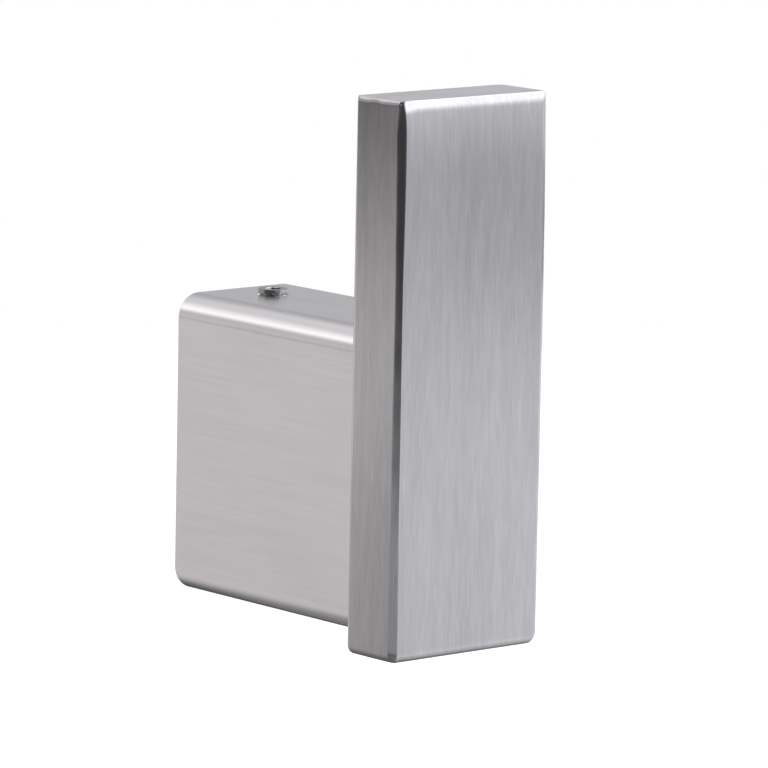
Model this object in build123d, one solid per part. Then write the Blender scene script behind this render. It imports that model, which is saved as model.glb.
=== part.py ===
from build123d import *
import math
import os

# Coat hook in brushed stainless steel. A flat bar, the upright, is welded across the front of a hollow
# post. The post slides over a folded bracket on the wall, and one grub screw from above locks it there.
# Millimetres. The origin is midway between the bracket's two screw holes, on the wall plane y = 0.
# +Z is up, the front faces -Y, and +X is to the right of someone who faces the hook.

# Post: a rectangular tube that stands out from the wall
POST_W = 21.0
POST_H = 40.0
POST_L = 38.0
POST_WALL = 2.0
POST_CORNER_R = 3.3
POST_RIM_BREAK = 0.2

# Upright: a flat bar that stands proud of the post at both sides and below, and rises above it
UPRIGHT_T = 9.5
UPRIGHT_PROUD = 2.0
UPRIGHT_RISE = 30.4
TOP_FRONT_R = 1.8
TOP_BACK_R = 1.2
FOOT_FRONT_R = 1.4
FOOT_BACK_R = 1.5
FRONT_EDGE_R = 0.9
BACK_EDGE_R = 0.7
END_EDGE_R = 0.5

# Wall bracket: a strip folded into a U, with its web on the wall and its flanges inside the post
STRIP_T = 2.0
FLANGE_L = 14.0
BEND_R = 1.5
SIDE_GAP = 0.2
CLAMP_GAP = 0.5
CORNER_GAP = 0.1
FLANGE_CORNER_R = 1.5
WALL_HOLE_D = 4.5
WALL_HEAD_D = 7.6
WALL_HEAD_ANGLE = 90.0
WALL_HOLE_PITCH = 18.0

# Grub screw: cone point below, hexagon socket above
GRUB_D = 4.0
GRUB_FROM_WALL = 7.0
GRUB_STAND = 0.8
GRUB_SINK = 0.7
GRUB_TIP_D = 0.6
GRUB_CONE_ANGLE = 90.0
GRUB_TOP_BREAK = 0.35
THREAD_GAP = 0.05
SEAT_GAP = 0.02
HEX_ACROSS = 2.0
HEX_DEPTH = 1.5
HEX_MOUTH_BREAK = 0.15
DRILL_ANGLE = 118.0

# Sizes that follow from the ones above
bore_w = POST_W - 2 * POST_WALL
bore_h = POST_H - 2 * POST_WALL
bore_r = POST_CORNER_R - POST_WALL

bracket_w = bore_w - 2 * SIDE_GAP
bracket_h = bore_h - CLAMP_GAP
bracket_edge_r = bore_r + CORNER_GAP
flange_top = bracket_h / 2

# The bracket's lower flange lies on the floor of the post's bore, so the gap is all above it
post_mid = bore_h / 2 - flange_top
post_top = post_mid + POST_H / 2
post_foot = post_mid - POST_H / 2

upright_w = POST_W + 2 * UPRIGHT_PROUD
upright_foot = post_foot - UPRIGHT_PROUD
upright_top = post_top + UPRIGHT_RISE
upright_h = upright_top - upright_foot
upright_back = -POST_L
upright_front = upright_back - UPRIGHT_T

grub_y = -GRUB_FROM_WALL
grub_top = post_top + GRUB_STAND
dimple_floor = flange_top - GRUB_SINK
grub_foot = dimple_floor + SEAT_GAP


def cone_length(wide_d, narrow_d, angle):
    """Length of a cone with this included angle, from one diameter to the other."""
    return (wide_d - narrow_d) / 2 / math.tan(math.radians(angle / 2))


def cone_between(x, y, low_z, low_d, high_z, high_d):
    """An upright cone between two heights, given its diameter at each."""
    cone = Cone(low_d / 2, high_d / 2, high_z - low_z, align=(Align.CENTER, Align.CENTER, Align.MIN))
    return Pos(x, y, low_z) * cone


def rounded_face(corners, radii):
    """A flat outline whose corners each have their own radius."""
    return make_face(FilletPolyline(*corners, radius=radii, close=True))


def upright():
    """The flat bar, where three rounded sections meet, so that its corners close to mitred tips."""
    half_w = upright_w / 2
    side = rounded_face(
        [
            (upright_back, upright_foot),
            (upright_back, upright_top),
            (upright_front, upright_top),
            (upright_front, upright_foot),
        ],
        [FOOT_BACK_R, TOP_BACK_R, TOP_FRONT_R, FOOT_FRONT_R],
    )
    plan = rounded_face(
        [
            (-half_w, upright_back),
            (half_w, upright_back),
            (half_w, upright_front),
            (-half_w, upright_front),
        ],
        [BACK_EDGE_R, BACK_EDGE_R, FRONT_EDGE_R, FRONT_EDGE_R],
    )
    front = RectangleRounded(upright_w, upright_h, END_EDGE_R)

    along_x = extrude(Plane.YZ * side, amount=half_w, both=True)
    along_z = Pos(0, 0, upright_foot) * extrude(plan, amount=upright_h)
    middle = Pos(0, upright_back, (upright_foot + upright_top) / 2)
    along_y = middle * extrude(Plane.XZ * front, amount=UPRIGHT_T)
    return along_x & along_z & along_y


def post():
    """The rectangular tube, open to the wall, with a tapped hole in its top for the grub screw."""
    section = RectangleRounded(POST_W, POST_H, POST_CORNER_R)
    bar = Pos(0, 0, post_mid) * extrude(Plane.XZ * section, amount=POST_L)
    wall_face = bar.faces().sort_by(Axis.Y)[-1]
    bar = chamfer(wall_face.edges(), POST_RIM_BREAK)
    bore = RectangleRounded(bore_w, bore_h, bore_r)
    bar -= Pos(0, 0, post_mid) * extrude(Plane.XZ * bore, amount=POST_L)
    tapped = Cylinder(GRUB_D / 2 + THREAD_GAP, 2 * POST_WALL)
    return bar - Pos(0, grub_y, post_top - POST_WALL / 2) * tapped


def folded_strip():
    """The strip bent into a U that is open to the front, across the whole width of the bracket."""
    middle = flange_top - STRIP_T / 2
    fold = FilletPolyline(
        (-FLANGE_L, middle),
        (-STRIP_T / 2, middle),
        (-STRIP_T / 2, -middle),
        (-FLANGE_L, -middle),
        radius=BEND_R + STRIP_T / 2,
    )
    return extrude(Plane.YZ * trace(fold, STRIP_T), amount=bracket_w / 2, both=True)


def wall_bracket():
    """The folded strip with its long edges rounded to clear the bore, and its holes and dimple cut."""
    half_w = bracket_w / 2
    through_bore = RectangleRounded(bracket_w, bracket_h, bracket_edge_r)
    from_above = rounded_face(
        [(-half_w, 0), (half_w, 0), (half_w, -FLANGE_L), (-half_w, -FLANGE_L)],
        [0, 0, FLANGE_CORNER_R, FLANGE_CORNER_R],
    )
    bracket = folded_strip()
    bracket &= extrude(Plane.XZ * through_bore, amount=FLANGE_L)
    bracket &= extrude(from_above, amount=bracket_h / 2, both=True)

    web_front = Plane.XZ.offset(STRIP_T)
    wall_hole = CounterSinkHole(
        WALL_HOLE_D / 2,
        WALL_HEAD_D / 2,
        depth=2 * STRIP_T,
        counter_sink_angle=WALL_HEAD_ANGLE,
    )
    for z in (-WALL_HOLE_PITCH / 2, WALL_HOLE_PITCH / 2):
        bracket -= web_front * Pos(0, z) * wall_hole

    mouth_d = GRUB_TIP_D + 2 * GRUB_SINK * math.tan(math.radians(GRUB_CONE_ANGLE / 2))
    return bracket - cone_between(0, grub_y, dimple_floor, GRUB_TIP_D, flange_top, mouth_d)


def grub_screw():
    """The screw at its thread's outer diameter, turned about its own axis, with its socket cut."""
    cone = cone_length(GRUB_D, GRUB_TIP_D, GRUB_CONE_ANGLE)
    half_section = Polyline(
        (0, grub_foot),
        (GRUB_TIP_D / 2, grub_foot),
        (GRUB_D / 2, grub_foot + cone),
        (GRUB_D / 2, grub_top - GRUB_TOP_BREAK),
        (GRUB_D / 2 - GRUB_TOP_BREAK, grub_top),
        (0, grub_top),
        close=True,
    )
    screw = Pos(0, grub_y, 0) * revolve(Plane.XZ * make_face(half_section), Axis.Z)

    socket_floor = grub_top - HEX_DEPTH
    hexagon = RegularPolygon(HEX_ACROSS / 2, 6, major_radius=False)
    screw -= Pos(0, grub_y, socket_floor) * extrude(hexagon, amount=HEX_DEPTH)
    drill_foot = socket_floor - cone_length(HEX_ACROSS, 0, DRILL_ANGLE)
    screw -= cone_between(0, grub_y, drill_foot, 0, socket_floor, HEX_ACROSS)
    corner_d = HEX_ACROSS / math.cos(math.radians(30))
    mouth_d = corner_d + 2 * HEX_MOUTH_BREAK
    mouth_foot = grub_top - cone_length(mouth_d, HEX_ACROSS, DRILL_ANGLE)
    return screw - cone_between(0, grub_y, mouth_foot, HEX_ACROSS, grub_top, mouth_d)


PARTS = {
    "upright": upright,
    "post": post,
    "wall_bracket": wall_bracket,
    "grub_screw": grub_screw,
}

os.makedirs("parts", exist_ok=True)
for name, build in PARTS.items():
    export_step(build(), f"parts/{name}.step")
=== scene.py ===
import math
import random

import bmesh
import bpy
from mathutils import Matrix, Vector


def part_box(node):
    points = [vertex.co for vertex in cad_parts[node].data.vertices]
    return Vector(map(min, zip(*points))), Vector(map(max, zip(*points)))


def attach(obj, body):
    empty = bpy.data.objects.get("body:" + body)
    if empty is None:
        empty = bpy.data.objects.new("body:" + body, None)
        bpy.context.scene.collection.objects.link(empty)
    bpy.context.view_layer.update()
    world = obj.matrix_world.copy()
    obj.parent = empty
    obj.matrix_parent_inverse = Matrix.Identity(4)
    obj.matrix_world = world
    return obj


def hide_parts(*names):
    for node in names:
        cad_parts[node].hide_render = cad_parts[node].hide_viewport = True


# Coat hook in brushed stainless steel: a flat upright bar, the hollow post behind it, the folded bracket
# that the post slides over, and the grub screw that locks it. Sizes are in metres.

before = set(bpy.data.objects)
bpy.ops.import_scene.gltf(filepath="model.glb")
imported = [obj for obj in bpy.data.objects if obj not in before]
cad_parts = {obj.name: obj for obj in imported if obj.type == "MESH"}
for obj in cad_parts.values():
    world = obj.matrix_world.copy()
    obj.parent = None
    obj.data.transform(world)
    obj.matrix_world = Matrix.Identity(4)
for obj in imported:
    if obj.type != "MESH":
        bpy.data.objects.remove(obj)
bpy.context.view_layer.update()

MM = 0.001
ROOT = "root"

# Upright: its edges were ground by hand, so they are softer than a drawing's and not quite even.
# Tall is how far an edge's softening reaches along the bar, and deep is how far the face draws back there.
TOP_FRONT_TALL = 1.45 * MM
TOP_FRONT_DEEP = 0.32 * MM
TOP_SOFTNESS = 0.25 * MM
TOP_SOFT_REACH = 0.8 * MM
TOP_BACK_R = 0.2 * MM
TOP_RIGHT_R = 0.3 * MM
FOOT_FRONT_TALL = 1.4 * MM
FOOT_FRONT_DEEP = 0.65 * MM
FOOT_BACK_TALL = 2.2 * MM
FOOT_BACK_DEEP = 1.3 * MM
FOOT_LEFT_TALL = 1.45 * MM
FOOT_LEFT_DEEP = 0.8 * MM
FOOT_RIGHT_TALL = 1.7 * MM
FOOT_RIGHT_DEEP = 1.7 * MM
RIGHT_EDGE_R = 0.9 * MM
RIGHT_EDGE_TOP_R = 1.35 * MM
RIGHT_EDGE_FADE = 25.0 * MM
BACK_EDGE_R = 1.05 * MM
CHAMFER_POWER = 1.5
ROUND_POWER = 2.0

# Crowns: the front falls back a little towards its top, and the left side towards its dressed edge
CROWN_DEPTH = 0.2 * MM
CROWN_REACH = 12.0 * MM
SIDE_CROWN = 0.05 * MM
SIDE_CROWN_REACH = 4.0 * MM

# Left front edge: a chamfer with a width at each share of the height, which ends in a pinched tip above
LEFT_EDGE_WIDTHS = ((0.0, 1.0 * MM), (0.3, 0.74 * MM), (0.65, 0.64 * MM), (0.93, 0.88 * MM))
LEFT_EDGE_SIDE = 1.05 * MM
TIP_TALL = 0.3 * MM
TIP_DEEP = 0.08 * MM
TIP_NARROWING = 0.4
TIP_REACH = 5.0 * MM
TIP_PINCH = 0.35
TIP_PINCH_REACH = 0.5 * MM

# Beside the tip the top front edge drops lower
CORNER_DROP = 0.3 * MM
CORNER_REACH = 2.6 * MM
CORNER_SLOPE = 0.6

# Left top edge: an uneven flat chamfer
TOP_LEFT_TALL = 0.3 * MM
TOP_LEFT_BACK_TALL = 0.42 * MM
TOP_LEFT_UNEVENNESS = 0.3
TOP_LEFT_SLOPE = 0.47
TOP_LEFT_SOFT = 0.09 * MM

# Wavers of the dressed edges: each has a seed and the lengths of its waves
LEFT_EDGE_WAVER = (11, (7 * MM, 13 * MM, 31 * MM))
RIGHT_EDGE_WAVER = (12, (8 * MM, 17 * MM, 29 * MM))
TOP_LEFT_WAVER = (13, (2.9 * MM, 5.3 * MM))
EDGE_WANDER = 0.05 * MM

# Rows and points of the upright's mesh. A row at the hold's distance from an edge keeps the face flat.
END_ROWS = 30
CROWN_ROWS = 14
SIDE_ROWS = 34
EDGE_POINTS = 11
CORNER_POINTS = 8
FACE_POINTS = 14
HOLD = 0.12 * MM

# Post
POST_WALL = 2.0 * MM
POST_CORNER_R = 3.3 * MM
POST_CORNER_POINTS = 28
POST_RIM_BREAK = 0.2 * MM
POST_RIM_POINTS = 3
SCREW_HOLE_R = 2.05 * MM
SCREW_HOLE_BREAK = 0.18 * MM
SCREW_HOLE_SIDES = 96

# Grub screw. The lead is its plain length between the thread and the break of its top.
SCREW_Y = -7.0 * MM
SCREW_R = 2.0 * MM
SCREW_POINT_R = 0.3 * MM
SCREW_POINT_BREAK = 0.06 * MM
SCREW_TOP_BREAK = 0.08 * MM
SCREW_LEAD = 0.15 * MM
SCREW_SIDES = 96
SOCKET_APOTHEM = 1.0 * MM
SOCKET_DEPTH = 1.5 * MM
SOCKET_MOUTH = 0.07 * MM
DRILL_HALF_ANGLE = math.radians(59)
SHARP_ANGLE = math.radians(35)

# Its small roundings, and the rows close to an edge that keep it crisp
RIM_COLLAR = 0.1 * MM
RIM_ROUND = 0.02 * MM
RIM_HOLD = 0.03 * MM

# Thread: crest and root are where its flank starts and ends, as shares of the pitch from the crest's middle.
# It is cut only in points that are on the screw's side, beyond a share of its radius.
THREAD_PITCH = 0.7 * MM
THREAD_DEPTH = 0.35 * MM
THREAD_CREST = 0.08
THREAD_ROOT = 0.46
THREAD_RUN_IN = 0.2 * MM
THREAD_RUN_OUT = 0.12 * MM
THREAD_BREAK = 0.05 * MM
ON_SIDE = 0.999
THREAD_ROWS = 40

# Steel: the depth of its marks, and how fine the broad and the single ones are where the fine ones are 1
MARK_DEPTH = 0.02 * MM
BROAD_MARKS = 0.31
SINGLE_MARKS = 0.62
SINGLE_MARKS_ASIDE = (31.0, 17.0, 5.0)

# How much of the streaks the broad marks make up, how much of the tone the clouds do, and how much
# scratches lighten it
BROAD_SHARE = 0.4
CLOUD_SHARE = 0.35
SCRATCH_GLEAM = 0.35

# The noise values between which streaks, clouds and scratches come up
STREAK_RANGE = (0.3, 0.7)
CLOUD_RANGE = (0.3, 0.7)
SCRATCH_RANGE = (0.66, 0.78)

# The range over which a mask turns with the surface's direction, and how dark the painted shade gets at most.
# The nudge keeps the tangent from vanishing on faces that look along the brush marks.
EDGE_TURN = (0.9994, 0.985)
END_TURN = (0.6, 0.8)
PAINTED_SHADE_TURN = (0.38, 0.6)
PAINTED_SHADE_MOST = 0.3
TANGENT_NUDGE = (0.011, 0.017, 0.013)

# Camera, solved on the straight edges of the photograph
IMAGE_SIDE = 768
FOCAL_PIXELS = 6264.2
CAMERA_AZIMUTH = math.radians(-40.375)
CAMERA_RISE = math.radians(9.06)
CAMERA_ROLL = math.radians(1.14)
CAMERA_DISTANCE = 839.9 * MM
CAMERA_ASIDE = 19.423 * MM
CAMERA_ABOVE = -7.18 * MM
SENSOR = 36.0

# Studio
TABLE_Z = -0.14
TABLE_R = 1.0
TABLE_WHITE = 0.8
TABLE_LIFT = 0.4
ROOM_R = 1.6
ROOM_LOW = -0.5
ROOM_HIGH = 2.4
WORLD_LIGHT = 0.85
LAMP_PLACE = (0.6, -0.2, 1.4)
LAMP_SIDE = 1.1
LAMP_RADIANCE = 1.6

# The paper room as the steel mirrors it: its grey at each rise, which is height over distance from the
# hook. A grey above 1 is brighter than a white wall.
PAPER_RIGHT = (
    (-1.2, 0.35), (-0.8, 0.65), (-0.5, 0.9), (-0.3, 0.96), (-0.22, 0.95), (-0.175, 0.98), (-0.145, 1.18),
    (-0.125, 1.08), (-0.117, 0.2), (-0.1, 0.16), (-0.085, 0.85), (-0.05, 0.9), (0.0, 0.93), (0.1, 1.0),
    (0.2, 1.1), (0.33, 1.5), (0.45, 1.8), (0.6, 1.85), (1.0, 1.75), (1.08, 0.4),
)
PAPER_LEFT = (
    (-1.2, 0.3), (-0.87, 0.5), (-0.75, 0.59), (-0.35, 0.59), (-0.25, 0.54), (-0.2, 0.55), (-0.17, 0.75),
    (-0.15, 1.05), (-0.125, 0.95), (-0.105, 0.45), (-0.09, 0.03), (-0.055, 0.0), (-0.036, 0.62),
    (0.05, 0.62), (0.22, 0.5), (0.32, 0.54), (0.39, 1.0), (0.45, 1.3), (0.53, 1.2), (0.62, 1.04),
    (0.73, 0.88), (0.82, 0.72), (0.9, 0.62),
)
PAPER_AWAY = (
    (-1.0, 0.2), (-0.87, 0.1), (-0.75, 0.06), (-0.6, 0.1), (-0.4, 0.25), (-0.25, 0.75), (-0.1, 0.8),
    (0.02, 0.56), (0.15, 0.49), (0.4, 0.41), (0.6, 0.43), (0.72, 0.5), (0.83, 0.68), (1.0, 0.9),
)
PAPER_CAMERA = (
    (-1.0, 0.28), (-0.6, 0.24), (-0.42, 0.17), (-0.33, 0.26), (-0.25, 0.36), (-0.185, 0.49), (-0.165, 0.27),
    (-0.145, 0.09), (-0.13, 0.055), (0.1, 0.05), (0.35, 0.05), (0.9, 0.08), (1.2, 0.3),
)
TINT_RIGHT = (0.97, 0.965, 0.997)
TINT_LEFT = (1.01, 0.957, 0.965)
TINT_AWAY = (0.985, 0.965, 1.0)
TINT_CAMERA = (1.0, 0.97, 0.99)

# Where each paper takes over from the one that faces away. Right and left go by the cosine of the angle to
# the right, and the camera's by that to its own middle, which is turned aside. Above, the paper fades out.
RIGHT_FADE = (0.3, 0.75)
LEFT_FADE = (-0.55, -0.9)
CAMERA_FADE = (0.42, 0.7)
DARK_ASIDE = math.radians(14)
PAPER_FADE = (1.2, 1.45)

# Kinds of socket
FLOAT = "NodeSocketFloat"
COUNT = "NodeSocketInt"
VECTOR = "NodeSocketVector"
COLOUR = "NodeSocketColor"
GEOMETRY = "NodeSocketGeometry"
MATERIAL = "NodeSocketMaterial"


# Camera

def set_up_camera():
    """The camera at the photograph's viewing angle, placed from the middle of the upright."""
    low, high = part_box("upright")
    middle = Vector((0, 0, (low.z + high.z) / 2))
    a, e, r = CAMERA_AZIMUTH, CAMERA_RISE, CAMERA_ROLL
    back = Vector((math.sin(a) * math.cos(e), -math.cos(a) * math.cos(e), math.sin(e)))
    level = Vector((math.cos(a), math.sin(a), 0))
    upward = back.cross(level)
    right = math.cos(r) * level + math.sin(r) * upward
    up = math.cos(r) * upward - math.sin(r) * level

    data = bpy.data.cameras.new("camera")
    data.sensor_width = SENSOR
    data.lens = FOCAL_PIXELS * SENSOR / IMAGE_SIDE
    data.clip_start = 0.01
    data.clip_end = 20
    camera = bpy.data.objects.new("camera", data)
    bpy.context.scene.collection.objects.link(camera)
    turn = Matrix((right, up, back)).transposed().to_4x4()
    place = middle + back * CAMERA_DISTANCE + right * CAMERA_ASIDE + up * CAMERA_ABOVE
    camera.matrix_world = Matrix.Translation(place) @ turn
    bpy.context.scene.camera = camera


# Nodes

def put(tree, kind, inputs=(), **settings):
    """Adds a node. Its inputs go by name or number, and each is a value or another node's socket."""
    node = tree.nodes.new(kind)
    for name, value in settings.items():
        setattr(node, name, value)
    for key, value in dict(inputs).items():
        if isinstance(value, bpy.types.NodeSocket):
            tree.links.new(value, node.inputs[key])
        else:
            node.inputs[key].default_value = value
    return node


def maths(tree, operation, *values, clamp=False):
    node = put(tree, "ShaderNodeMath", enumerate(values), operation=operation, use_clamp=clamp)
    return node.outputs[0]


def vectors(tree, operation, *values):
    node = put(tree, "ShaderNodeVectorMath", enumerate(values), operation=operation)
    return node.outputs["Value" if operation in ("DOT_PRODUCT", "LENGTH") else "Vector"]


def xyz(tree, *values):
    return put(tree, "ShaderNodeCombineXYZ", enumerate(values)).outputs[0]


def split(tree, vector):
    return put(tree, "ShaderNodeSeparateXYZ", {0: vector}).outputs


def ease(tree, value, low, high, to_low=0.0, to_high=1.0):
    """Moves smoothly from to_low to to_high while value goes from low to high."""
    inputs = enumerate((value, low, high, to_low, to_high))
    return put(tree, "ShaderNodeMapRange", inputs, interpolation_type="SMOOTHSTEP").outputs[0]


def blend(tree, share, a, b):
    return put(tree, "ShaderNodeMix", {"Factor": share, 2: a, 3: b}, data_type="FLOAT").outputs[0]


def blend_vectors(tree, share, a, b):
    return put(tree, "ShaderNodeMix", {"Factor": share, 4: a, 5: b}, data_type="VECTOR").outputs[1]


def blend_colours(tree, share, a, b):
    return put(tree, "ShaderNodeMix", {"Factor": share, 6: a, 7: b}, data_type="RGBA").outputs[2]


def noise(tree, position, scale, detail=2.0, roughness=0.5):
    inputs = {"Vector": position, "Scale": scale, "Detail": detail, "Roughness": roughness}
    return put(tree, "ShaderNodeTexNoise", inputs).outputs["Fac"]


def new_group(name, kind, inputs, outputs):
    """A node group whose inputs are (name, kind of socket, value) and whose outputs are (name, kind)."""
    group = bpy.data.node_groups.new(name, kind)
    for label, socket_type, value in inputs:
        socket = group.interface.new_socket(label, in_out="INPUT", socket_type=socket_type)
        if value is not None:
            socket.default_value = value
    for label, socket_type in outputs:
        group.interface.new_socket(label, in_out="OUTPUT", socket_type=socket_type)
    return group, group.nodes.new("NodeGroupInput").outputs, group.nodes.new("NodeGroupOutput").inputs


def use_group(tree, group, **inputs):
    """Places a shader node group. An underscore in an input's name stands for a space."""
    named = {name.replace("_", " "): value for name, value in inputs.items()}
    return put(tree, "ShaderNodeGroup", named, node_tree=group).outputs


# Effects that more than one steel uses

def grain_group():
    """Brush marks, which run along the axis where Grain is smallest, and the clouds of a hand-held belt."""
    group, given, result = new_group(
        "brush_grain",
        "ShaderNodeTree",
        [("Position", VECTOR, None), ("Grain", VECTOR, None), ("Clouds", VECTOR, None)],
        [("Streaks", FLOAT), ("Scratches", FLOAT), ("Clouds", FLOAT)],
    )
    along = vectors(group, "MULTIPLY", given["Position"], given["Grain"])
    fine = noise(group, along, 1.0, detail=3.0, roughness=0.6)
    broad = noise(group, along, BROAD_MARKS)
    group.links.new(ease(group, blend(group, BROAD_SHARE, fine, broad), *STREAK_RANGE), result["Streaks"])
    aside = vectors(group, "ADD", along, SINGLE_MARKS_ASIDE)
    single = noise(group, aside, SINGLE_MARKS, detail=1.0, roughness=0.4)
    group.links.new(ease(group, single, *SCRATCH_RANGE), result["Scratches"])
    clouds = noise(group, vectors(group, "MULTIPLY", given["Position"], given["Clouds"]), 1.0)
    group.links.new(ease(group, clouds, *CLOUD_RANGE), result["Clouds"])
    return group


def edge_group():
    """Finds rounded edges by the turn of the surface: 0 on every flat face, 1 midway round an edge."""
    inputs, outputs = [("Normal", VECTOR, None)], [("Edge", FLOAT)]
    group, given, result = new_group("dressed_edge", "ShaderNodeTree", inputs, outputs)
    x, y, z = split(group, vectors(group, "ABSOLUTE", given["Normal"]))
    most = maths(group, "MAXIMUM", maths(group, "MAXIMUM", x, y), z)
    group.links.new(ease(group, most, *EDGE_TURN), result["Edge"])
    return group


def finish_group():
    """Turns grain, scratches, clouds, edges and painted shade into a colour, a roughness and a height."""
    group, given, result = new_group(
        "steel_finish",
        "ShaderNodeTree",
        [
            ("Streaks", FLOAT, 0.5),
            ("Scratches", FLOAT, 0.0),
            ("Clouds", FLOAT, 0.5),
            ("Edge", FLOAT, 0.0),
            ("Dull", FLOAT, 0.0),
            ("Dark steel", COLOUR, (0.5, 0.5, 0.5, 1)),
            ("Light steel", COLOUR, (0.6, 0.6, 0.6, 1)),
            ("Roughness", FLOAT, 0.35),
            ("Roughness spread", FLOAT, 0.05),
            ("Edge roughness", FLOAT, 0.25),
        ],
        [("Colour", COLOUR), ("Roughness", FLOAT), ("Height", FLOAT)],
    )
    tone = blend(group, CLOUD_SHARE, given["Streaks"], given["Clouds"])
    gleam = maths(group, "MULTIPLY", given["Scratches"], SCRATCH_GLEAM)
    tone = maths(group, "ADD", tone, gleam, clamp=True)
    colour = blend_colours(group, tone, given["Dark steel"], given["Light steel"])
    # Painted shade: the colour is darkened towards black on faces that look the given way.
    group.links.new(blend_colours(group, given["Dull"], colour, (0, 0, 0, 1)), result["Colour"])
    centred = maths(group, "SUBTRACT", given["Streaks"], 0.5)
    spread = maths(group, "MULTIPLY", centred, given["Roughness spread"])
    rough = maths(group, "ADD", given["Roughness"], spread)
    group.links.new(blend(group, given["Edge"], rough, given["Edge roughness"]), result["Roughness"])
    group.links.new(maths(group, "ADD", given["Streaks"], given["Scratches"]), result["Height"])
    return group


BRUSH_GRAIN = grain_group()
DRESSED_EDGE = edge_group()
STEEL_FINISH = finish_group()


# Materials

def end_faces(tree, normal):
    """1 on the faces that look up or down, and 0 on the others."""
    return ease(tree, maths(tree, "ABSOLUTE", split(tree, normal)[2]), *END_TURN)


def steel(name, dark, light, grain, along, clouds, roughness, edge_roughness, anisotropy, bump,
          spread=0.05, on_ends=None, grain_on_ends=None, shade_towards=None):
    """A brushed steel.

    Grain and clouds are how fine its marks and clouds are along X, Y and Z, and along is the way the marks
    run. On the end faces they may run another way. Faces that look towards the given direction get painted
    shade, a darker colour."""
    material = bpy.data.materials.new(name)
    material.use_nodes = True
    tree = material.node_tree
    shader = tree.nodes["Principled BSDF"]
    position = put(tree, "ShaderNodeTexCoord").outputs["Object"]
    normal = put(tree, "ShaderNodeNewGeometry").outputs["Normal"]

    marks = use_group(tree, BRUSH_GRAIN, Position=position, Grain=grain, Clouds=clouds)
    streaks = marks["Streaks"]
    if on_ends is not None:
        ends = end_faces(tree, normal)
        marks_on_ends = use_group(tree, BRUSH_GRAIN, Position=position, Grain=grain_on_ends, Clouds=clouds)
        streaks = blend(tree, ends, streaks, marks_on_ends["Streaks"])
        along = blend_vectors(tree, ends, along, on_ends)
    edge = use_group(tree, DRESSED_EDGE, Normal=normal)["Edge"]
    painted_shade = 0.0
    # Painted shade: faces that look towards the given direction are darkened.
    if shade_towards is not None:
        painted_shade = ease(tree, vectors(tree, "DOT_PRODUCT", normal, shade_towards), *PAINTED_SHADE_TURN, 0.0, PAINTED_SHADE_MOST)
    finish = use_group(
        tree, STEEL_FINISH,
        Streaks=streaks, Scratches=marks["Scratches"], Clouds=marks["Clouds"], Edge=edge, Dull=painted_shade,
        Dark_steel=(*dark, 1), Light_steel=(*light, 1),
        Roughness=roughness, Roughness_spread=spread, Edge_roughness=edge_roughness,
    )
    shader.inputs["Metallic"].default_value = 1.0
    shader.inputs["Anisotropic"].default_value = anisotropy
    tree.links.new(finish["Colour"], shader.inputs["Base Color"])
    tree.links.new(finish["Roughness"], shader.inputs["Roughness"])
    across = vectors(tree, "CROSS_PRODUCT", normal, along)
    tree.links.new(vectors(tree, "ADD", across, TANGENT_NUDGE), shader.inputs["Tangent"])
    inputs = {"Strength": bump, "Distance": MARK_DEPTH, "Height": finish["Height"]}
    tree.links.new(put(tree, "ShaderNodeBump", inputs).outputs[0], shader.inputs["Normal"])
    return material


# The upright's faces that look left and down get painted shade, which darkens its foot's lower left rounding.
UPRIGHT_STEEL = steel(
    "upright_steel", (0.514, 0.519, 0.534), (0.66, 0.665, 0.68),
    grain=(2900, 2900, 260), along=(0, 0, 1), grain_on_ends=(130, 2700, 2700), on_ends=(1, 0, 0),
    clouds=(90, 90, 18), roughness=0.29, edge_roughness=0.2, spread=0.01, anisotropy=0.95, bump=0.01,
    shade_towards=(-0.35, 0, -0.94),
)
# The post is the same stainless steel as the upright, set much lighter: painted light that makes it render
# brighter.
POST_STEEL = steel(
    "post_steel", (0.827, 0.828, 0.838), (0.892, 0.893, 0.903),
    grain=(2300, 70, 2300), along=(0, 1, 0),
    clouds=(90, 60, 90), roughness=0.27, edge_roughness=0.21, spread=0.003, anisotropy=0.4, bump=0.0003,
)
BRACKET_STEEL = steel(
    "bracket_steel", (0.42, 0.42, 0.42), (0.54, 0.54, 0.54),
    grain=(180, 1500, 1500), along=(1, 0, 0),
    clouds=(260, 260, 260), roughness=0.42, edge_roughness=0.36, anisotropy=0.4, bump=0.1,
)
# The screw's colour is darker than the hook's steel: painted shade that stands in for the dark wall of the
# screw.
SCREW_STEEL = steel(
    "screw_steel", (0.36, 0.36, 0.36), (0.46, 0.46, 0.46),
    grain=(900, 900, 9000), along=(0, 0, 1),
    clouds=(900, 900, 900), roughness=0.22, edge_roughness=0.2, anisotropy=0.3, bump=0.08,
)


# Meshes

def finish_piece(piece, node, material=None):
    """Puts a finished mesh in the scene in place of its CAD node."""
    if material is not None:
        piece.data.materials.clear()
        piece.data.materials.append(material)
    if piece.name not in bpy.context.scene.collection.objects:
        bpy.context.scene.collection.objects.link(piece)
    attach(piece, ROOT)
    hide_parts(node)


def piece_from_bmesh(name, bm):
    bmesh.ops.recalc_face_normals(bm, faces=bm.faces)
    for face in bm.faces:
        face.smooth = True
    mesh = bpy.data.meshes.new(name)
    bm.to_mesh(mesh)
    bm.free()
    return bpy.data.objects.new(name, mesh)


def loft(bm, rings):
    """Skins rings of points, all with the same count, and closes the two ends."""
    loops = [[bm.verts.new(point) for point in ring] for ring in rings]
    count = len(loops[0])
    for low, high in zip(loops, loops[1:]):
        for i in range(count):
            j = (i + 1) % count
            bm.faces.new((low[i], low[j], high[j], high[i]))
    bm.faces.new(loops[0])
    bm.faces.new(loops[-1])


def eased(share):
    """0 before the start, 1 after the end and smooth between them."""
    share = min(max(share, 0.0), 1.0)
    return share * share * (3 - 2 * share)


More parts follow.
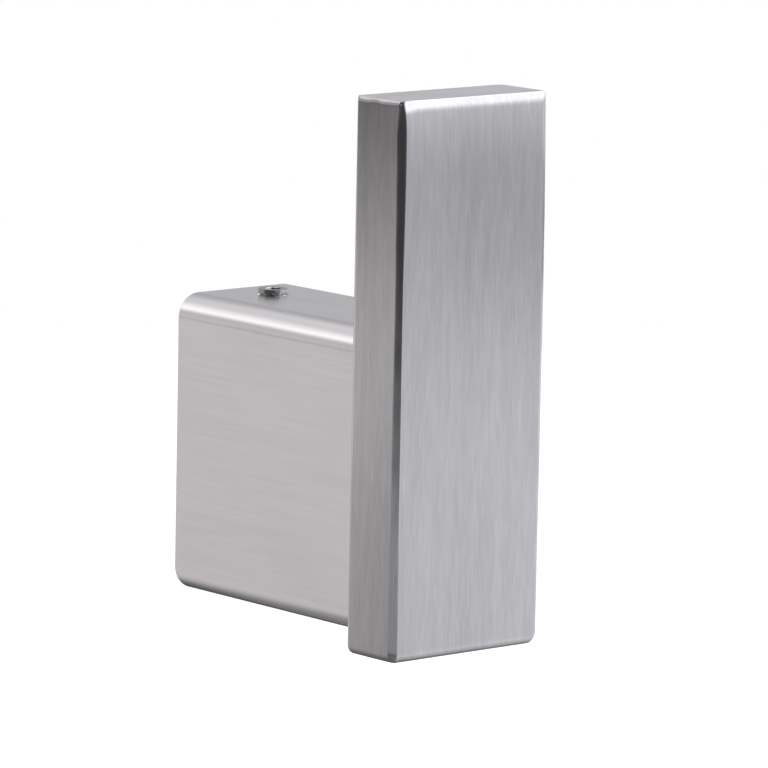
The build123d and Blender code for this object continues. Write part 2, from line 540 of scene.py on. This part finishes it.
def fading(distance, reach, power=3):
    """1 at no distance, falling softly to 0 at its reach."""
    return max(0.0, 1 - distance / reach) ** power


def drawn_back(depth, tall, deep):
    """How far a rounded edge has drawn back at this depth below the end face: a quarter of an ellipse."""
    if depth >= tall:
        return 0.0
    return deep * (1 - math.sqrt(1 - (1 - depth / tall) ** 2))


def chamfered(depth, tall, slope, soft):
    """How far a flat chamfer has drawn back at this depth below the end face. Its lower border is soft."""
    return slope * soft * math.log1p(math.exp((tall - depth) / soft))


def waves(seed, lengths):
    """A slow seeded waver between about -1 and 1, for edges dressed by hand."""
    draw = random.Random(seed)
    parts = [(length, draw.uniform(0, math.tau)) for length in lengths]

    def waver(place):
        return sum(math.sin(math.tau * place / length + turn) for length, turn in parts) / len(parts)

    return waver


# Upright

def corner_arc(along_front, along_side, power, recess):
    """A dressed corner as (distance from the side, distance from the front), from the side to the front.

    Power 2 is round, and nearer 1 is a chamfer with soft borders. Where the front face has drawn back
    further than the corner, the corner follows it, so the two meet in a mitre."""
    points = []
    for k in range(EDGE_POINTS + 1):
        angle = math.pi / 2 * k / EDGE_POINTS
        from_side = along_front * (1 - math.cos(angle) ** (2 / power))
        from_front = along_side * (1 - math.sin(angle) ** (2 / power))
        points.append((from_side, max(from_front, recess(from_side))))
    return points


def left_edge_width(share):
    """How wide the left front edge shows on the front, at a share of the height."""
    for (start, before), (end, after) in zip(LEFT_EDGE_WIDTHS, LEFT_EDGE_WIDTHS[1:]):
        if share <= end:
            return before + (after - before) * eased((share - start) / (end - start))
    return LEFT_EDGE_WIDTHS[-1][1]


def front_recess(from_left, edge, above, below):
    """How far the front face has drawn back here, from its distances to the left side and to both ends."""
    drop = CORNER_DROP * fading(max(0.0, from_left - edge), CORNER_REACH, power=1.5)
    lower = max(0.0, above - drop)
    face = CORNER_SLOPE * max(0.0, drop - above) + TOP_FRONT_DEEP * fading(lower, TOP_FRONT_TALL, power=2)
    face += TOP_SOFTNESS * math.exp(-lower / TOP_SOFT_REACH)
    tip = TIP_DEEP * fading(above, TIP_TALL, power=1.5)
    recess = tip + (face - tip) * eased(2 * from_left / edge - 1)
    return recess + drawn_back(below, FOOT_FRONT_TALL, FOOT_FRONT_DEEP)


def between(start, end, count):
    """Places from start to end, without both, and with one more close to each to keep the face flat."""
    near = math.copysign(HOLD, end - start)
    inner = [start + (end - start) * k / count for k in range(1, count)]
    return [start + near, *inner, end - near]


def front_places(start, end):
    """Places across the front face, closer together near its left corner, where the top edge changes."""
    inner = start + CORNER_REACH
    places = [start + CORNER_REACH * k / CORNER_POINTS for k in range(1, CORNER_POINTS + 1)]
    places += [inner + (end - inner) * k / FACE_POINTS for k in range(1, FACE_POINTS)]
    return [*places, end - HOLD]


def upright_ring(z, low, high, waver):
    """One level outline of the bar, from its left side round its front, right side and back."""
    above, below = high.z - z, z - low.z
    front = low.y + CROWN_DEPTH * fading(above, CROWN_REACH)
    left = low.x + drawn_back(below, FOOT_LEFT_TALL, FOOT_LEFT_DEEP)
    right = high.x - drawn_back(above, TOP_RIGHT_R, TOP_RIGHT_R)
    right -= drawn_back(below, FOOT_RIGHT_TALL, FOOT_RIGHT_DEEP)
    back_cut = drawn_back(above, TOP_BACK_R, TOP_BACK_R) + drawn_back(below, FOOT_BACK_TALL, FOOT_BACK_DEEP)

    edge = left_edge_width(below / (high.z - low.z))
    tip = 1 - TIP_NARROWING * fading(above, TIP_REACH, power=2)
    tip *= 1 - TIP_PINCH * fading(above, TIP_PINCH_REACH, power=1.5)
    along_side = LEFT_EDGE_SIDE * tip + EDGE_WANDER * (1 - fading(above, TIP_REACH)) * waver["left"](z)
    radius = RIGHT_EDGE_R + (RIGHT_EDGE_TOP_R - RIGHT_EDGE_R) * fading(above, RIGHT_EDGE_FADE, power=1)
    radius += EDGE_WANDER * waver["right"](z)

    def recess(from_left):
        return front_recess(from_left, edge, above, below)

    def side(y):
        """The left side here: crowned beside the dressed edge, and broken unevenly along the top."""
        behind = max(0.0, y - front - along_side)
        share = min(behind / (high.y - BACK_EDGE_R - front - along_side), 1.0)
        tall = TOP_LEFT_TALL + (TOP_LEFT_BACK_TALL - TOP_LEFT_TALL) * eased(share)
        tall *= 1 + TOP_LEFT_UNEVENNESS * waver["top left"](y) * math.sin(math.pi * share)
        crown = SIDE_CROWN * fading(behind, SIDE_CROWN_REACH)
        return left + crown + chamfered(above, tall, TOP_LEFT_SLOPE, TOP_LEFT_SOFT)

    left_arc = corner_arc(edge, along_side, CHAMFER_POWER, recess)
    right_arc = corner_arc(radius, radius, ROUND_POWER, lambda _: recess(high.x - low.x))
    back_arc = corner_arc(BACK_EDGE_R, BACK_EDGE_R, ROUND_POWER, lambda _: back_cut)

    outline = [(side(front + along_side) + x, front + y) for x, y in left_arc]
    start, end = outline[-1][0], right - right_arc[-1][0]
    outline += [(x, front + recess(x - low.x)) for x in front_places(start, end)]
    outline += [(right - x, front + y) for x, y in reversed(right_arc)]
    start, end = front + right_arc[0][1], high.y - back_arc[0][1]
    outline += [(right, y) for y in between(start, end, FACE_POINTS // 2)]
    outline += [(right - x, high.y - y) for x, y in back_arc]
    start, end = right - back_arc[-1][0], side(high.y) + back_arc[-1][0]
    outline += [(x, high.y - back_cut) for x in between(start, end, FACE_POINTS)]
    outline += [(side(high.y) + x, high.y - y) for x, y in reversed(back_arc)]
    start, end = high.y - back_arc[0][1], front + left_arc[0][1]
    outline += [(side(y), y) for y in between(start, end, 2 * FACE_POINTS)]
    return [(x, y, z) for x, y in outline]


def drawn_in(ring, by):
    """The ring moved inwards in its own plane."""
    xs, ys, _ = zip(*ring)

    def closer(value, values):
        middle, half = (max(values) + min(values)) / 2, (max(values) - min(values)) / 2
        return middle + (value - middle) * (half - by) / half

    return [(closer(x, xs), closer(y, ys), z) for x, y, z in ring]


def build_upright():
    """The flat bar, skinned from level outlines, which are closer together round its ends."""
    low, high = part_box("upright")
    waver = {
        "left": waves(*LEFT_EDGE_WAVER),
        "right": waves(*RIGHT_EDGE_WAVER),
        "top left": waves(*TOP_LEFT_WAVER),
    }

    def end_depths(tall):
        return [tall * (1 - math.sin(math.pi / 2 * k / END_ROWS)) for k in range(END_ROWS + 1)]

    foot = [low.z + depth for depth in reversed(end_depths(FOOT_BACK_TALL))]
    top = [high.z - depth for depth in end_depths(TOP_FRONT_TALL)]
    crown = [top[0] - CROWN_REACH * (k / CROWN_ROWS) ** 2 for k in range(CROWN_ROWS, 0, -1)]
    start, end = foot[-1] + HOLD, crown[0]
    plain = [start + (end - start) * k / SIDE_ROWS for k in range(SIDE_ROWS)]
    rings = [upright_ring(z, low, high, waver) for z in (*foot, *plain, *crown, *top)]
    rings.insert(0, drawn_in(rings[0], HOLD))
    rings.append(drawn_in(rings[-1], HOLD))
    bm = bmesh.new()
    loft(bm, rings)
    finish_piece(piece_from_bmesh("upright_bar", bm), "upright", UPRIGHT_STEEL)


# Geometry node trees

def run_tree(name, tree, inputs, start=None):
    """Runs a geometry node tree and returns its result as a piece with a plain mesh."""
    source = start or bpy.data.objects.new(name + "_start", bpy.data.meshes.new(name + "_start"))
    bpy.context.scene.collection.objects.link(source)
    modifier = source.modifiers.new("shape", "NODES")
    modifier.node_group = tree
    sockets = {item.name: item.identifier for item in tree.interface.items_tree if item.in_out == "INPUT"}
    for label, value in inputs.items():
        modifier[sockets[label]] = value
    evaluated = source.evaluated_get(bpy.context.evaluated_depsgraph_get())
    mesh = bpy.data.meshes.new_from_object(evaluated)
    mesh.name = name
    source.modifiers.remove(modifier)
    bpy.data.objects.remove(source)
    return bpy.data.objects.new(name, mesh)


def geometry_tree(name, sizes):
    """A tree that takes a mesh, named sizes and a steel. Returns it with its inputs and its last socket."""
    inputs = [("Geometry", GEOMETRY, None)]
    for label, value in sizes.items():
        inputs.append((label, COUNT if isinstance(value, int) else FLOAT, value))
    inputs.append(("Steel", MATERIAL, None))
    tree, given, result = new_group(name, "GeometryNodeTree", inputs, [("Geometry", GEOMETRY)])
    return tree, given, result["Geometry"]


def end_tree(tree, geometry, given, result):
    """Smooth shading, Realize Instances and Set Material, which every tree ends in."""
    smooth = put(tree, "GeometryNodeSetShadeSmooth", {"Geometry": geometry}).outputs[0]
    real = put(tree, "GeometryNodeRealizeInstances", {"Geometry": smooth}).outputs[0]
    inputs = {"Geometry": real, "Material": given["Steel"]}
    tree.links.new(put(tree, "GeometryNodeSetMaterial", inputs).outputs[0], result)


def rounded_rectangle(tree, width, height, radius, points):
    inputs = {"Width": width, "Height": height}
    outline = put(tree, "GeometryNodeCurvePrimitiveQuadrilateral", inputs).outputs[0]
    inputs = {"Curve": outline, "Count": points, "Radius": radius}
    return put(tree, "GeometryNodeFilletCurve", inputs, mode="POLY").outputs[0]


def moved(tree, geometry, place):
    return put(tree, "GeometryNodeTransform", {"Geometry": geometry, "Translation": place}).outputs[0]


def cut_from(tree, body, drill):
    settings = {"operation": "DIFFERENCE", "solver": "EXACT"}
    return put(tree, "GeometryNodeMeshBoolean", {0: body, 1: drill}, **settings).outputs[0]


# Post

def tube_tree():
    """A rectangular tube: a section of its wall is carried round an outline, then its screw hole is cut."""
    tree, given, result = geometry_tree("post_tube", {
        "Width": 0.0,
        "Height": 0.0,
        "Length": 0.0,
        "Middle height": 0.0,
        "Wall": POST_WALL,
        "Corner radius": POST_CORNER_R,
        "Corner points": POST_CORNER_POINTS,
        "Rim break": POST_RIM_BREAK,
        "Hole radius": SCREW_HOLE_R,
        "Hole break": SCREW_HOLE_BREAK,
        "Hole place": SCREW_Y,
    })
    half_wall = maths(tree, "MULTIPLY", given["Wall"], 0.5)
    path = rounded_rectangle(
        tree,
        maths(tree, "SUBTRACT", given["Width"], given["Wall"]),
        maths(tree, "SUBTRACT", given["Height"], given["Wall"]),
        maths(tree, "SUBTRACT", given["Corner radius"], half_wall),
        given["Corner points"],
    )
    section = rounded_rectangle(tree, given["Wall"], given["Length"], given["Rim break"], POST_RIM_POINTS)
    inputs = {"Curve": path, "Profile Curve": section, "Fill Caps": False}
    swept = put(tree, "GeometryNodeCurveToMesh", inputs).outputs[0]
    place = xyz(tree, 0.0, maths(tree, "MULTIPLY", given["Length"], -0.5), given["Middle height"])
    inputs = {"Geometry": swept, "Translation": place, "Rotation": (math.pi / 2, 0, 0)}
    tube = put(tree, "GeometryNodeTransform", inputs).outputs[0]

    top = maths(tree, "MULTIPLY_ADD", given["Height"], 0.5, given["Middle height"])
    inputs = {
        "Vertices": SCREW_HOLE_SIDES,
        "Radius": given["Hole radius"],
        "Depth": maths(tree, "MULTIPLY", given["Wall"], 2.0),
    }
    drill = put(tree, "GeometryNodeMeshCylinder", inputs).outputs[0]
    drill = moved(tree, drill, xyz(tree, 0.0, given["Hole place"], maths(tree, "SUBTRACT", top, half_wall)))
    # The countersink's cone goes as far above the top as below it, so it is twice as wide as the break
    inputs = {
        "Vertices": SCREW_HOLE_SIDES,
        "Radius Top": maths(tree, "MULTIPLY_ADD", given["Hole break"], 2.0, given["Hole radius"]),
        "Radius Bottom": given["Hole radius"],
        "Depth": maths(tree, "MULTIPLY", given["Hole break"], 2.0),
    }
    sink = put(tree, "GeometryNodeMeshCone", inputs).outputs[0]
    sink_foot = maths(tree, "SUBTRACT", top, given["Hole break"])
    sink = moved(tree, sink, xyz(tree, 0.0, given["Hole place"], sink_foot))
    end_tree(tree, cut_from(tree, cut_from(tree, tube, drill), sink), given, result)
    return tree


def weigh_normals(piece):
    """Keeps the flats flat: each face's area decides how the shading turns at its corners."""
    bpy.context.scene.collection.objects.link(piece)
    modifier = piece.modifiers.new("flats", "WEIGHTED_NORMAL")
    modifier.weight = 100
    modifier.keep_sharp = True
    evaluated = piece.evaluated_get(bpy.context.evaluated_depsgraph_get())
    mesh = bpy.data.meshes.new_from_object(evaluated)
    piece.modifiers.remove(modifier)
    piece.data = mesh


def build_post():
    low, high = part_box("post")
    piece = run_tree("post_tube", tube_tree(), {
        "Width": high.x - low.x,
        "Height": high.z - low.z,
        "Length": high.y - low.y,
        "Middle height": (low.z + high.z) / 2,
        "Steel": POST_STEEL,
    })
    weigh_normals(piece)
    finish_piece(piece, "post")


# Grub screw

def thread_tree():
    """Cuts a thread into a turned blank: points on its side move in as the helix passes them."""
    tree, given, result = geometry_tree("screw_thread", {
        "Radius": SCREW_R,
        "Pitch": THREAD_PITCH,
        "Depth": THREAD_DEPTH,
        "Run in": THREAD_RUN_IN,
        "Run out": THREAD_RUN_OUT,
        "Foot": 0.0,
        "Top": 0.0,
        "Place": SCREW_Y,
    })
    position = put(tree, "GeometryNodeInputPosition").outputs[0]
    x, y, z = split(tree, vectors(tree, "SUBTRACT", position, xyz(tree, 0.0, given["Place"], 0.0)))
    from_axis = xyz(tree, x, y, 0.0)
    turns = maths(tree, "DIVIDE", maths(tree, "ARCTAN2", y, x), math.tau)
    phase = maths(tree, "SUBTRACT", maths(tree, "DIVIDE", z, given["Pitch"]), turns)
    groove = ease(tree, maths(tree, "PINGPONG", phase, 0.5), THREAD_CREST, THREAD_ROOT)
    run_in = ease(tree, z, given["Foot"], maths(tree, "ADD", given["Foot"], given["Run in"]))
    run_out = ease(tree, z, given["Top"], maths(tree, "SUBTRACT", given["Top"], given["Run out"]))
    cut = maths(tree, "MULTIPLY", maths(tree, "MULTIPLY", groove, run_in), run_out)
    inward = maths(tree, "MULTIPLY", maths(tree, "MULTIPLY", cut, given["Depth"]), -1.0)
    side = maths(tree, "MULTIPLY", given["Radius"], ON_SIDE)
    on_side = maths(tree, "GREATER_THAN", vectors(tree, "LENGTH", from_axis), side)
    inputs = {0: vectors(tree, "NORMALIZE", from_axis), "Scale": inward}
    offset = put(tree, "ShaderNodeVectorMath", inputs, operation="SCALE").outputs[0]
    inputs = {"Geometry": given["Geometry"], "Selection": on_side, "Offset": offset}
    end_tree(tree, put(tree, "GeometryNodeSetPosition", inputs).outputs[0], given, result)
    return tree


def turned_ring(radius, height):
    """A ring round the screw's axis. Its radius may depend on the direction, and its height on the radius."""
    points = []
    for k in range(SCREW_SIDES):
        turn = math.tau * k / SCREW_SIDES
        r = radius(turn) if callable(radius) else radius
        z = height(r) if callable(height) else height
        points.append((r * math.cos(turn), SCREW_Y + r * math.sin(turn), z))
    return points


def across_flats(turn):
    """The hexagon socket's radius in this direction, with a corner on the X axis."""
    return SOCKET_APOTHEM / math.cos((turn % (math.pi / 3)) - math.pi / 6)


def screw_blank(low, high):
    """The screw turned to its outer diameter, with a cone point below and a hexagon socket above."""
    foot, top = low.z, high.z
    thread_foot = foot + SCREW_R - SCREW_POINT_R
    rim_foot = top - SCREW_TOP_BREAK
    thread_top = rim_foot - SCREW_LEAD
    slope = math.tan(DRILL_HALF_ANGLE)
    mouth_r = SOCKET_APOTHEM / math.cos(math.pi / 6) + SOCKET_MOUTH
    floor = top - SOCKET_DEPTH

    def mouth(r):
        """The height of the drilled mouth where the hexagon meets it."""
        return top - (mouth_r - r) / slope

    # The profile's (radius, height), from the point up the side, over the rim and down into the socket
    profile = [
        (SCREW_POINT_R / 2, foot),
        (SCREW_POINT_R, foot),
        (SCREW_POINT_R + SCREW_POINT_BREAK, foot + SCREW_POINT_BREAK),
        (SCREW_R - THREAD_BREAK, thread_foot - THREAD_BREAK),
    ]
    step = (thread_top - thread_foot) / THREAD_ROWS
    profile += [(SCREW_R, thread_foot + step * k) for k in range(THREAD_ROWS + 1)]
    profile += [
        (SCREW_R, rim_foot - RIM_COLLAR),
        (SCREW_R, rim_foot),
        (SCREW_R - RIM_ROUND, top - RIM_HOLD),
        (SCREW_R - SCREW_TOP_BREAK - 2 * RIM_ROUND, top),
        (mouth_r + RIM_HOLD, top),
        (mouth_r - RIM_ROUND, top - RIM_ROUND / 2),
        (lambda turn: across_flats(turn) + RIM_ROUND, mouth),
        (across_flats, lambda r: mouth(r) - RIM_HOLD),
        (across_flats, floor + RIM_HOLD),
        (across_flats, floor),
        (SOCKET_APOTHEM, floor),
        (RIM_ROUND, floor - SOCKET_APOTHEM / slope),
    ]
    bm = bmesh.new()
    loft(bm, [turned_ring(radius, height) for radius, height in profile])
    return piece_from_bmesh("screw_blank", bm), thread_foot, thread_top


def build_grub_screw():
    low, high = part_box("grub_screw")
    blank, thread_foot, thread_top = screw_blank(low, high)
    inputs = {"Foot": thread_foot, "Top": thread_top, "Steel": SCREW_STEEL}
    piece = run_tree("set_screw", thread_tree(), inputs, blank)
    piece.data.set_sharp_from_angle(angle=SHARP_ANGLE)
    finish_piece(piece, "grub_screw")


# Wall bracket

def dress_bracket():
    """The bracket's CAD shape is right and stays: it only gets its steel."""
    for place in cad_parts["wall_bracket"].material_slots:
        place.material = BRACKET_STEEL


# Studio

def soft_box(name, place, aim, side, radiance):
    """A large soft square lamp. Radiance is the brightness of its face, where 1 is a white wall."""
    data = bpy.data.lights.new(name, "AREA")
    data.shape = "RECTANGLE"
    data.size, data.size_y = side, side
    data.energy = radiance * side * side * math.pi
    lamp = bpy.data.objects.new(name, data)
    bpy.context.scene.collection.objects.link(lamp)
    lamp.location = place
    lamp.rotation_euler = (Vector(aim) - Vector(place)).to_track_quat("-Z", "Y").to_euler()
    lamp.visible_camera = False


def set_up_world():
    """White behind everything that is seen or mirrored, and a plain even light."""
    world = bpy.data.worlds.new("studio")
    bpy.context.scene.world = world
    world.use_nodes = True
    tree = world.node_tree
    path = put(tree, "ShaderNodeLightPath").outputs
    seen = maths(tree, "MAXIMUM", path["Is Camera Ray"], path["Is Glossy Ray"])
    seen = maths(tree, "MAXIMUM", seen, path["Is Transmission Ray"])
    background = tree.nodes["Background"]
    background.inputs["Color"].default_value = (1, 1, 1, 1)
    tree.links.new(blend(tree, seen, WORLD_LIGHT, 1.0), background.inputs["Strength"])


def graded(tree, value, stops, tint):
    """A smooth run of tinted greys. Each stop is a place on the value's scale and the grey there."""
    low, high = stops[0][0], stops[-1][0]
    share = put(tree, "ShaderNodeMapRange", enumerate((value, low, high, 0.0, 1.0))).outputs[0]
    node = put(tree, "ShaderNodeValToRGB", {0: share})
    ramp = node.color_ramp
    ramp.interpolation = "EASE"
    while len(ramp.elements) < len(stops):
        ramp.elements.new(0.5)
    for element, (place, grey) in zip(ramp.elements, stops):
        element.position = (place - low) / (high - low)
        element.color = (*(grey * part for part in tint), 1)
    return node.outputs[0]


def room_group():
    """The colour of the paper room in each direction from the origin, and the rise of that direction."""
    inputs, outputs = [("Position", VECTOR, None)], [("Colour", COLOUR), ("Rise", FLOAT)]
    group, given, result = new_group("paper_room", "ShaderNodeTree", inputs, outputs)
    x, y, z = split(group, given["Position"])
    level = xyz(group, x, y, 0.0)
    way = vectors(group, "NORMALIZE", level)
    rise = maths(group, "DIVIDE", z, vectors(group, "LENGTH", level))
    a, dark = CAMERA_AZIMUTH, CAMERA_AZIMUTH - DARK_ASIDE
    to_right = vectors(group, "DOT_PRODUCT", way, (math.cos(a), math.sin(a), 0))
    to_dark = vectors(group, "DOT_PRODUCT", way, (math.sin(dark), -math.cos(dark), 0))
    colour = graded(group, rise, PAPER_AWAY, TINT_AWAY)
    for side, fade, paper, tint in (
        (to_right, RIGHT_FADE, PAPER_RIGHT, TINT_RIGHT),
        (to_right, LEFT_FADE, PAPER_LEFT, TINT_LEFT),
        (to_dark, CAMERA_FADE, PAPER_CAMERA, TINT_CAMERA),
    ):
        colour = blend_colours(group, ease(group, side, *fade), colour, graded(group, rise, paper, tint))
    group.links.new(colour, result["Colour"])
    group.links.new(rise, result["Rise"])
    return group


def stage_piece(name, bm, paint):
    """A piece of the studio, with a material whose nodes the function paint adds and returns."""
    mesh = bpy.data.meshes.new(name)
    bm.to_mesh(mesh)
    bm.free()
    material = bpy.data.materials.new(name)
    material.use_nodes = True
    tree = material.node_tree
    tree.nodes.clear()
    put(tree, "ShaderNodeOutputMaterial", {"Surface": paint(tree)})
    mesh.materials.append(material)
    piece = bpy.data.objects.new(name, mesh)
    bpy.context.scene.collection.objects.link(piece)
    return piece


def build_table(room):
    """A round white table below the hook. The steel mirrors the room's paper in its place."""
    def paint(tree):
        path = put(tree, "ShaderNodeLightPath").outputs
        white = (TABLE_WHITE, TABLE_WHITE, TABLE_WHITE, 1)
        matt = put(tree, "ShaderNodeBsdfDiffuse", {"Color": white}).outputs[0]
        strength = maths(tree, "MULTIPLY", path["Is Camera Ray"], TABLE_LIFT)
        lift = put(tree, "ShaderNodeEmission", {"Strength": strength}).outputs[0]
        seen = put(tree, "ShaderNodeAddShader", {0: matt, 1: lift}).outputs[0]
        position = put(tree, "ShaderNodeTexCoord").outputs["Object"]
        colour = use_group(tree, room, Position=position)["Colour"]
        mirrored = put(tree, "ShaderNodeEmission", {"Color": colour}).outputs[0]
        top = put(tree, "ShaderNodeMixShader", {0: path["Is Glossy Ray"], 1: seen, 2: mirrored}).outputs[0]
        under = put(tree, "ShaderNodeNewGeometry").outputs["Backfacing"]
        clear = put(tree, "ShaderNodeBsdfTransparent").outputs[0]
        return put(tree, "ShaderNodeMixShader", {0: under, 1: top, 2: clear}).outputs[0]

    bm = bmesh.new()
    bmesh.ops.create_circle(bm, cap_ends=True, segments=96, radius=TABLE_R)
    bmesh.ops.translate(bm, vec=(0, 0, TABLE_Z), verts=bm.verts)
    stage_piece("white_table", bm, paint)


def build_room(room):
    """Grey paper round the table, dark on the camera's side. It is seen only in the steel's mirror."""
    def paint(tree):
        position = put(tree, "ShaderNodeTexCoord").outputs["Object"]
        light = use_group(tree, room, Position=position)
        glow = put(tree, "ShaderNodeEmission", {"Color": light["Colour"]}).outputs[0]
        clear = put(tree, "ShaderNodeBsdfTransparent").outputs[0]
        fade = ease(tree, light["Rise"], *PAPER_FADE)
        return put(tree, "ShaderNodeMixShader", {0: fade, 1: glow, 2: clear}).outputs[0]

    bm = bmesh.new()
    size = {"radius1": ROOM_R, "radius2": ROOM_R, "depth": ROOM_HIGH - ROOM_LOW}
    bmesh.ops.create_cone(bm, cap_ends=False, segments=128, **size)
    bmesh.ops.translate(bm, vec=(0, 0, (ROOM_HIGH + ROOM_LOW) / 2), verts=bm.verts)
    bmesh.ops.reverse_faces(bm, faces=bm.faces)
    wall = stage_piece("paper_room", bm, paint)
    wall.visible_camera = False
    wall.visible_diffuse = False
    wall.visible_shadow = False


def set_up_studio():
    bpy.context.scene.view_settings.view_transform = "Standard"
    set_up_world()
    room = room_group()
    build_table(room)
    build_room(room)
    soft_box("soft_box_right", LAMP_PLACE, (0, 0, 0), LAMP_SIDE, LAMP_RADIANCE)


set_up_camera()
build_upright()
build_post()
build_grub_screw()
dress_bracket()
set_up_studio()
